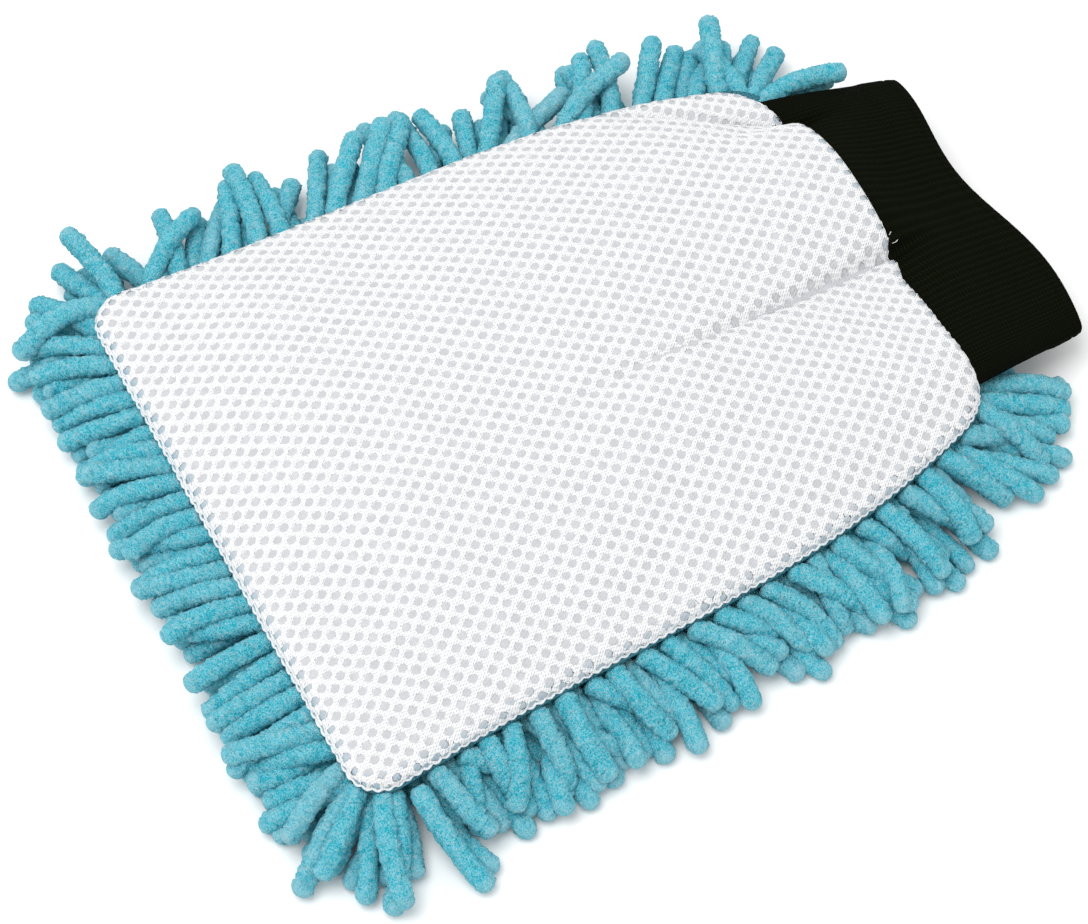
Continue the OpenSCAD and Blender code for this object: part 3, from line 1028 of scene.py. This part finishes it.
def cuff_surface(angle, s, depth, height):
    """Point of the cuff: a flattened loop that meets the wrist's arch, narrows to its end and waves there."""
    half = (CUFF_ROOT_WIDTH + (CUFF_END_WIDTH - CUFF_ROOT_WIDTH) * np.clip(s, 0, 1)) / 2 - depth
    x = half * np.sign(np.cos(angle)) * np.abs(np.cos(angle)) ** 0.85
    along = np.clip(s, 0, 1)
    tall = height / 2 * (1.20 - 0.32 * along)
    middle = 21.2 - 7.0 * along
    crown = SEAM_Z + 0.7 + wrist_arch(x, 0) + wrist_folds(x, 0) - middle - tall
    tall = tall + np.where(np.sin(angle) > 0, crown * (1 - smooth(0.05, 0.55, along)), 0)
    z = (tall - depth) * np.sign(np.sin(angle)) * np.abs(np.sin(angle)) ** 0.62
    z = z + middle + 0.5 * ripple(x, 40 * along, 45, 41) * smooth(0, 0.4, along)
    length = WRIST_Y + CUFF_LENGTH + end_wave(x) - CUFF_FROM
    return np.stack([x + CUFF_SHIFT * np.clip(s, 0, 1), CUFF_FROM + s * length, z], -1)


def build_cuff(shape, colours):
    """Folded rib tube: its section runs out on the outer layer, over the fold and back on the inner one."""
    s = np.linspace(0, 1, CUFF_STEPS)
    fold = np.linspace(0, np.pi, 9)[1:-1]
    wall = 2 * KNIT_THICK + CUFF_HOLLOW
    run = np.concatenate([s, 1 + 0.018 * np.sin(fold), s[::-1]])
    depth = np.concatenate([0 * s, wall / 2 * (1 - np.cos(fold)), 0 * s + wall])
    angle = np.linspace(0, 2 * np.pi, CUFF_AROUND, endpoint=False)
    band = smooth(0.74, 0.78, run)
    rib = 0.06 * np.sin(RIBS * angle)[None] * (0.5 + 0.5 * band)[:, None]
    puff = 0.35 * (smooth(0.70, 0.78, run) * (1 - smooth(0.95, 1.0, run)))[:, None]
    outer = np.concatenate([np.ones(CUFF_STEPS), np.cos(fold), -np.ones(CUFF_STEPS)])[:, None]
    rim = -0.32 * bell(run - 0.935, 0.012)[:, None]
    deep = depth[:, None] - (rib + puff + rim) * outer
    points = cuff_surface(angle[None] + 0 * deep, run[:, None] + 0 * deep, deep, shape.cuff_height / MM)
    across, along = angle[None] / (2 * np.pi) * CUFF_MAP[0], run[:, None] * CUFF_MAP[1]
    uv = np.stack(np.broadcast_arrays(across, along), -1).reshape(-1, 2)
    quads = grid_quads(len(run), CUFF_AROUND, wrap=True)
    cuff = add_piece("knit_cuff", points.reshape(-1, 3), quads, material=knit_material(colours), uv=uv)
    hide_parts("cuff")
    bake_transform(cuff)


def build_cuff_threads(shape):
    """Elastic threads near the cuff's end, and the thread that joins it to the wrist: loops in its wall."""
    angle = np.linspace(0, 2 * np.pi, 300, endpoint=False)
    for kind, node, body, slot, shade, deep, places in CUFF_THREADS:
        loops = [
            tube(cuff_surface(angle, np.full(300, at), deep, shape.cuff_height / MM), 0.4, closed=True)
            for at in places]
        count = len(loops[0][0])
        points = np.concatenate([loop[0] for loop in loops])
        quads = np.concatenate([loop[1] + count * i for i, loop in enumerate(loops)])
        material = thread_material(kind + " thread", shade)
        thread = add_piece("cuff_" + kind + "_cord", points, quads, None, material)
        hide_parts(node)
        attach(thread, body)


# ---------------------------------------------------------------- materials


def new_material(name):
    """Empty node material with its Principled shader: (material, tree, shader)."""
    material = bpy.data.materials.new(name)
    material.use_nodes = True
    tree = material.node_tree
    tree.nodes.clear()
    shader = tree.nodes.new("ShaderNodeBsdfPrincipled")
    output = tree.nodes.new("ShaderNodeOutputMaterial")
    tree.links.new(shader.outputs["BSDF"], output.inputs["Surface"])
    return material, tree, shader


def set_up(node, settings):
    """Sets a node's options and inputs; a socket given as a value is linked."""
    for key, value in settings.items():
        if isinstance(key, str) and hasattr(node, key) and key not in node.inputs:
            setattr(node, key, value)
        elif isinstance(value, bpy.types.NodeSocket):
            node.id_data.links.new(value, node.inputs[key])
        else:
            node.inputs[key].default_value = value
    return node


def add_node(tree, kind, settings):
    """New node of a kind with its settings."""
    return set_up(tree.nodes.new(kind), settings)


def ramp(tree, value, low, high):
    """Value carried from low..high to 0..1, clamped."""
    made = add_node(tree, "ShaderNodeMapRange", {
        "Value": value, "From Min": low, "From Max": high, "To Min": 0.0, "To Max": 1.0})
    return made.outputs["Result"]


def maths(tree, operation, first, second):
    """Two values through one operation."""
    return add_node(tree, "ShaderNodeMath", {"operation": operation, 0: first, 1: second}).outputs[0]


def blend_colour(tree, factor, first, second):
    """Mix of two colours, each a socket or three numbers."""
    node = tree.nodes.new("ShaderNodeMix")
    node.data_type = "RGBA"
    for socket, value in ((node.inputs[0], factor), (node.inputs[6], first), (node.inputs[7], second)):
        if isinstance(value, bpy.types.NodeSocket):
            tree.links.new(value, socket)
        else:
            socket.default_value = value if isinstance(value, float) else (*value, 1.0)
    return node.outputs[2]


def attribute(tree, name):
    """A number that the mesh carries per point."""
    return add_node(tree, "ShaderNodeAttribute", {"attribute_name": name}).outputs["Fac"]


def new_group(name, inputs, outputs):
    """Empty shader group with float sockets: (tree, input node, output node)."""
    tree = bpy.data.node_groups.new(name, "ShaderNodeTree")
    for key, value in inputs.items():
        tree.interface.new_socket(key, in_out="INPUT", socket_type="NodeSocketFloat").default_value = value
    for key in outputs:
        tree.interface.new_socket(key, in_out="OUTPUT", socket_type="NodeSocketFloat")
    return tree, tree.nodes.new("NodeGroupInput"), tree.nodes.new("NodeGroupOutput")


def fibre_group():
    """Loose fibres: fine noise in two sizes. Height is the fuzz, Shade its slower light and dark."""
    if "Loose fibres" in bpy.data.node_groups:
        return bpy.data.node_groups["Loose fibres"]
    tree, source, sink = new_group("Loose fibres", {"Size": 0.0008, "Roughen": 0.6}, ("Height", "Shade"))
    place = tree.nodes.new("ShaderNodeTexCoord").outputs["Object"]
    scale = maths(tree, "DIVIDE", 1.0, source.outputs["Size"])
    fine = add_node(tree, "ShaderNodeTexNoise", {
        "Vector": place, "Scale": scale, "Detail": 2.0, "Roughness": source.outputs["Roughen"]})
    broad = add_node(tree, "ShaderNodeTexNoise", {
        "Vector": place, "Scale": maths(tree, "MULTIPLY", scale, 0.22), "Detail": 3.0, "Roughness": 0.6})
    tree.links.new(fine.outputs["Fac"], sink.inputs["Height"])
    tree.links.new(broad.outputs["Fac"], sink.inputs["Shade"])
    return tree


def weave_group():
    """Crossed yarns seen in plan: Height rises on each yarn, Gap is 1 between them and masks the painted shade
    there.
    """
    if "Crossed yarns" in bpy.data.node_groups:
        return bpy.data.node_groups["Crossed yarns"]
    tree, source, sink = new_group("Crossed yarns", {"Pitch": 0.0007, "Skew": 0.0}, ("Height", "Gap"))
    place = tree.nodes.new("ShaderNodeTexCoord").outputs["Object"]
    axes = add_node(tree, "ShaderNodeSeparateXYZ", {"Vector": place})
    rate = maths(tree, "DIVIDE", 2 * math.pi, source.outputs["Pitch"])
    aside = maths(tree, "MULTIPLY", axes.outputs["Y"], source.outputs["Skew"])
    skewed = maths(tree, "ADD", axes.outputs["X"], aside)
    across = maths(tree, "SINE", maths(tree, "MULTIPLY", skewed, rate), 0.0)
    along = maths(tree, "SINE", maths(tree, "MULTIPLY", axes.outputs["Y"], rate), 0.0)
    height = maths(tree, "MULTIPLY", maths(tree, "ADD", across, along), 0.5)
    tree.links.new(height, sink.inputs["Height"])
    tree.links.new(ramp(tree, height, -0.2, -0.9), sink.inputs["Gap"])
    return tree


def use_group(tree, group, settings):
    """Places a group with its own values."""
    node = tree.nodes.new("ShaderNodeGroup")
    node.node_tree = group
    return set_up(node, settings)


def bump(tree, height, distance, strength=1.0):
    """Normal from a height, with the distance in metres."""
    node = add_node(tree, "ShaderNodeBump", {"Height": height, "Distance": distance, "Strength": strength})
    return node.outputs["Normal"]


def net_material(colours):
    """White polyester yarn: fine fibre bump, and a little painted shade that greys the yarn low down and
    between its strands.
    """
    material, tree, shader = new_material("White net yarn")
    dull, painted_low_yarn_shade, painted_gap_shade = (0.88, 0.89, 0.91), (0.72, 0.76, 0.80), (0.74, 0.76, 0.80)
    fuzz = use_group(tree, fibre_group(), {"Size": 0.00042, "Roughen": 0.75})
    twist = use_group(tree, weave_group(), {"Pitch": 0.00085, "Skew": 0.9})
    # Painted shade: the lower rings of each cell, down towards the hole, are mixed towards grey.
    low = ramp(tree, attribute(tree, "depth"), 0.1, -0.6)
    tone = blend_colour(tree, ramp(tree, fuzz.outputs["Height"], 0.35, 0.62), dull, tuple(colours.mesh))
    tone = blend_colour(tree, maths(tree, "MULTIPLY", low, 0.35), tone, painted_low_yarn_shade)
    # Painted shade: the grooves between the twisted strands are mixed towards grey.
    tone = blend_colour(tree, maths(tree, "MULTIPLY", twist.outputs["Gap"], 0.30), tone, painted_gap_shade)
    tree.links.new(tone, shader.inputs["Base Color"])
    yarn = maths(tree, "ADD", fuzz.outputs["Height"], maths(tree, "MULTIPLY", twist.outputs["Height"], 0.5))
    tree.links.new(bump(tree, yarn, 0.0004), shader.inputs["Normal"])
    set_up(shader, {
        "Roughness": 0.75, "Specular IOR Level": 0.3, "Sheen Weight": 0.15, "Sheen Roughness": 0.5})
    return material


def backing_material(colours):
    """Pale close knit whose grey is painted shade down in the net's holes, with painted shade between its
    yarns; it takes the allowance's colour near the seam, most where show is high.
    """
    material, tree, shader = new_material("Knit backing")
    painted_gap_shade, pale, allowance = (0.42, 0.44, 0.47), (0.64, 0.65, 0.67), (0.16, 0.36, 0.47)
    knit = use_group(tree, weave_group(), {"Pitch": 0.0009, "Skew": 0.5})
    fuzz = use_group(tree, fibre_group(), {"Size": 0.0011})
    gap = maths(tree, "MULTIPLY", knit.outputs["Gap"], 0.35)
    patch = maths(tree, "MULTIPLY", ramp(tree, fuzz.outputs["Shade"], 0.4, 0.7), 0.5)
    # Painted shade: the gaps between the knit's yarns are mixed towards a darker grey.
    tone = blend_colour(tree, gap, tuple(colours.backing), painted_gap_shade)
    tone = blend_colour(tree, patch, tone, pale)
    near = ramp(tree, attribute(tree, "inset"), 5.5, 1.5)
    strength = maths(tree, "ADD", maths(tree, "MULTIPLY", attribute(tree, "show"), 0.22), 0.32)
    tone = blend_colour(tree, maths(tree, "MULTIPLY", near, strength), tone, allowance)
    tree.links.new(tone, shader.inputs["Base Color"])
    tree.links.new(bump(tree, knit.outputs["Height"], 0.00008), shader.inputs["Normal"])
    set_up(shader, {"Roughness": 0.85, "Specular IOR Level": 0.25})
    return material


def chenille_material(colours):
    """Velvety microfibre: painted shade darkens it between the tufts, and painted sheen makes it pale at the
    high points of the pile and at the cut tips.
    """
    material, tree, shader = new_material("Blue chenille")
    fuzz = use_group(tree, fibre_group(), {"Size": 0.00050, "Roughen": 0.8})
    pile = maths(tree, "ADD", fuzz.outputs["Height"], maths(tree, "MULTIPLY", attribute(tree, "pile"), 0.16))
    body = tuple(colours.chenille)
    pale_tone_and_sheen = tuple(colours.chenille_pale_and_sheen)
    # Painted shade: deep is the darker colour laid where the pile is low, between the tufts.
    deep = (0.15 * body[0], 0.62 * body[1], 0.68 * body[2])
    tone = blend_colour(tree, ramp(tree, pile, 0.30, 0.50), deep, body)
    # Painted sheen: the high points of the pile are mixed towards the pale colour.
    tone = blend_colour(tree, maths(tree, "MULTIPLY", ramp(tree, pile, 0.42, 0.76), 0.95), tone, pale_tone_and_sheen)
    # Painted sheen: the cut tips are mixed towards the pale colour.
    tip = maths(tree, "MULTIPLY", ramp(tree, attribute(tree, "along"), 0.86, 1.0), 0.26)
    tone = blend_colour(tree, tip, tone, pale_tone_and_sheen)
    # Random tone per noodle, also towards the pale colour.
    vary = maths(tree, "MULTIPLY", ramp(tree, attribute(tree, "tone"), 0.0, 2.5), 0.18)
    tone = blend_colour(tree, vary, tone, pale_tone_and_sheen)
    tree.links.new(tone, shader.inputs["Base Color"])
    tree.links.new(bump(tree, fuzz.outputs["Height"], 0.0013), shader.inputs["Normal"])
    set_up(shader, {
        "Roughness": 0.9, "Specular IOR Level": 0.10, "Sheen Weight": 0.08, "Sheen Roughness": 0.4,
        "Sheen Tint": (0.50, 0.88, 1.0, 1.0)})
    return material


def ground_material(colours):
    """Plain woven ground cloth, with painted shade between its yarns."""
    material, tree, shader = new_material("Ground cloth")
    weave = use_group(tree, weave_group(), {"Pitch": 0.0011})
    # Painted shade: the cloth is mixed towards a darker colour between its yarns.
    dark = tuple(0.45 * c for c in colours.ground)
    tone = blend_colour(tree, weave.outputs["Gap"], tuple(colours.ground), dark)
    tree.links.new(tone, shader.inputs["Base Color"])
    tree.links.new(bump(tree, weave.outputs["Height"], 0.0003), shader.inputs["Normal"])
    set_up(shader, {"Roughness": 0.9, "Specular IOR Level": 0.2})
    return material


STITCH_WIDTH, STITCH_ROW = 0.0017, 0.0011


def knit_material(colours):
    """Black rib knit: rows of slanting stitches on the cuff's own map, with loose fibres over them; raised
    stitches are painted lighter as highlight and low ones darker as shade.
    """
    material, tree, shader = new_material("Black rib knit")
    place = add_node(tree, "ShaderNodeUVMap", {"uv_map": "cloth"}).outputs["UV"]
    axes = add_node(tree, "ShaderNodeSeparateXYZ", {"Vector": place})
    across = maths(tree, "MULTIPLY", axes.outputs["X"], 2 * math.pi / STITCH_WIDTH)
    lean = maths(tree, "MULTIPLY", maths(tree, "SINE", across, 0.0), 0.9)
    along = maths(tree, "ADD", maths(tree, "MULTIPLY", axes.outputs["Y"], 2 * math.pi / STITCH_ROW), lean)
    loops, columns = maths(tree, "SINE", along, 0.0), maths(tree, "COSINE", across, 0.0)
    stitch = maths(tree, "MULTIPLY", maths(tree, "ADD", loops, columns), 0.5)
    fuzz = use_group(tree, fibre_group(), {"Size": 0.0006, "Roughen": 0.8})
    raised = maths(tree, "ADD", stitch, maths(tree, "MULTIPLY", fuzz.outputs["Height"], 0.8))
    # Painted highlight and shade: raised parts of the stitch pattern lighter, low parts darker.
    lit = ramp(tree, raised, 0.45, 1.35)
    knit = tuple(colours.knit)
    tone = blend_colour(tree, lit, tuple(0.7 * c for c in knit), tuple(1.6 * c for c in knit))
    tree.links.new(tone, shader.inputs["Base Color"])
    tree.links.new(bump(tree, raised, 0.0002), shader.inputs["Normal"])
    set_up(shader, {"Roughness": 0.9, "Specular IOR Level": 0.03})
    return material


def thread_material(name, colour):
    """Twisted sewing thread with a slight lustre."""
    material, tree, shader = new_material(name)
    fuzz = use_group(tree, fibre_group(), {"Size": 0.0004})
    shade = tuple(0.7 * c for c in colour)
    tone = blend_colour(tree, ramp(tree, fuzz.outputs["Height"], 0.3, 0.6), shade, colour)
    tree.links.new(tone, shader.inputs["Base Color"])
    tree.links.new(bump(tree, fuzz.outputs["Height"], 0.0002), shader.inputs["Normal"])
    set_up(shader, {"Roughness": 0.6, "Specular IOR Level": 0.4})
    return material


OVERLOCK_COLOUR = (0.75, 0.80, 0.83)


def dress_overlock():
    """Thread material for the frame's own overlock stitching inside the seam."""
    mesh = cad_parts["overlock_thread"].data
    mesh.materials.clear()
    mesh.materials.append(thread_material("Overlock thread", OVERLOCK_COLOUR))


# ---------------------------------------------------------------- stage


FLOOR_HALF, FLOOR_Z = 4000.0, -0.02
KEY_SIZE, KEY_PLACE = 1.2, (-0.10, -0.45, 1.60)


def look_at(obj, place, target):
    """Puts an object at a place and turns its -Z to a target."""
    obj.location = place
    obj.rotation_euler = (Vector(target) - Vector(place)).to_track_quat("-Z", "Y").to_euler()


def build_stage(stage):
    """Camera at the mitt's best side, white floor, white surroundings and one large soft key light."""
    scene = bpy.context.scene
    a, e = stage.azimuth, stage.elevation
    back = np.array([math.sin(a) * math.cos(e), -math.cos(a) * math.cos(e), math.sin(e)])
    target = np.array(stage.target)
    camera = bpy.data.cameras.new("Camera")
    camera.sensor_width = 36.0
    camera.lens = camera.sensor_width * stage.points_per_metre * stage.distance / PICTURE_WIDTH
    camera.clip_start, camera.clip_end = 0.02, 20.0
    seen = bpy.data.objects.new("Camera", camera)
    scene.collection.objects.link(seen)
    look_at(seen, target + back * stage.distance, target)
    scene.camera = seen

    corners = FLOOR_HALF * np.array([[-1, -1], [1, -1], [1, 1], [-1, 1]])
    floor = add_piece("floor", np.column_stack([corners, np.full(4, FLOOR_Z)]), np.array([[0, 1, 2, 3]]))
    material, _, shader = new_material("White floor")
    set_up(shader, {"Base Color": (0.93, 0.93, 0.93, 1.0), "Roughness": 0.9, "Specular IOR Level": 0.1})
    floor.data.materials.append(material)

    world = bpy.data.worlds.new("Soft white surroundings")
    world.use_nodes = True
    background = world.node_tree.nodes["Background"]
    set_up(background, {"Color": (1.0, 1.0, 1.0, 1.0), "Strength": stage.surroundings})
    scene.world = world

    key = bpy.data.lights.new("Soft key", "AREA")
    key.shape, key.size, key.energy = "DISK", KEY_SIZE, stage.key_power
    lamp = bpy.data.objects.new("Soft key", key)
    scene.collection.objects.link(lamp)
    look_at(lamp, KEY_PLACE, (0.0, 0.0, 0.0))
    scene.view_settings.view_transform = "Standard"


# ---------------------------------------------------------------- operators and panel


class MITT_OT_back(bpy.types.Operator):
    """Build the net face of the back panel and its backing"""

    bl_idname = "mitt.back"
    bl_label = "Mesh back"

    def execute(self, context):
        build_net(context.scene.mitt_shape, context.scene.mitt_colours)
        build_backing(context.scene.mitt_shape, context.scene.mitt_colours)
        return {"FINISHED"}


class MITT_OT_ground(bpy.types.Operator):
    """Build the ground cloth of the palm and the turned-in cloth, and dress the overlock thread"""

    bl_idname = "mitt.ground"
    bl_label = "Ground cloth"

    def execute(self, context):
        build_ground(context.scene.mitt_colours)
        build_allowance(context.scene.mitt_colours)
        dress_overlock()
        return {"FINISHED"}


class MITT_OT_noodles(bpy.types.Operator):
    """Lay the chenille noodles to rest and build their skins, one piece per row"""

    bl_idname = "mitt.noodles"
    bl_label = "Chenille noodles"

    def execute(self, context):
        build_noodles(context.scene.mitt_shape, context.scene.mitt_colours)
        return {"FINISHED"}


class MITT_OT_stitches(bpy.types.Operator):
    """Build the closing stitches along the sewn edge"""

    bl_idname = "mitt.stitches"
    bl_label = "Edge stitches"

    def execute(self, context):
        build_edge_stitches()
        return {"FINISHED"}


class MITT_OT_cuff(bpy.types.Operator):
    """Build the folded knit cuff and the threads in it"""

    bl_idname = "mitt.cuff"
    bl_label = "Knit cuff"

    def execute(self, context):
        build_cuff(context.scene.mitt_shape, context.scene.mitt_colours)
        build_cuff_threads(context.scene.mitt_shape)
        return {"FINISHED"}


class MITT_OT_stage(bpy.types.Operator):
    """Set up the camera, the floor and the light"""

    bl_idname = "mitt.stage"
    bl_label = "Stage"

    def execute(self, context):
        build_stage(context.scene.mitt_stage)
        return {"FINISHED"}


OPERATORS = (MITT_OT_stage, MITT_OT_back, MITT_OT_ground, MITT_OT_noodles, MITT_OT_stitches, MITT_OT_cuff)


class VIEW3D_PT_wash_mitt(bpy.types.Panel):
    """Sidebar panel with the mitt's settings and its parts"""

    bl_label = "Wash Mitt"
    bl_space_type = "VIEW_3D"
    bl_region_type = "UI"
    bl_category = "Wash Mitt"

    def draw(self, context):
        for operator in OPERATORS:
            self.layout.operator(operator.bl_idname)
        for key, group in SETTINGS.items():
            box = self.layout.box()
            for name in group.__annotations__:
                box.prop(getattr(context.scene, key), name)


CLASSES = (*SETTINGS.values(), *OPERATORS, VIEW3D_PT_wash_mitt)


def register():
    """Registers the classes and hangs the settings on the scene."""
    for cls in CLASSES:
        bpy.utils.register_class(cls)
    for key, group in SETTINGS.items():
        setattr(bpy.types.Scene, key, bpy.props.PointerProperty(type=group))


def unregister():
    """Takes the settings and the classes away again."""
    for key in SETTINGS:
        delattr(bpy.types.Scene, key)
    for cls in reversed(CLASSES):
        bpy.utils.unregister_class(cls)


def main():
    """Builds every piece in order."""
    register()
    for operator in OPERATORS:
        group, name = operator.bl_idname.split(".")
        getattr(getattr(bpy.ops, group), name)()


if __name__ == "__main__":
    main()
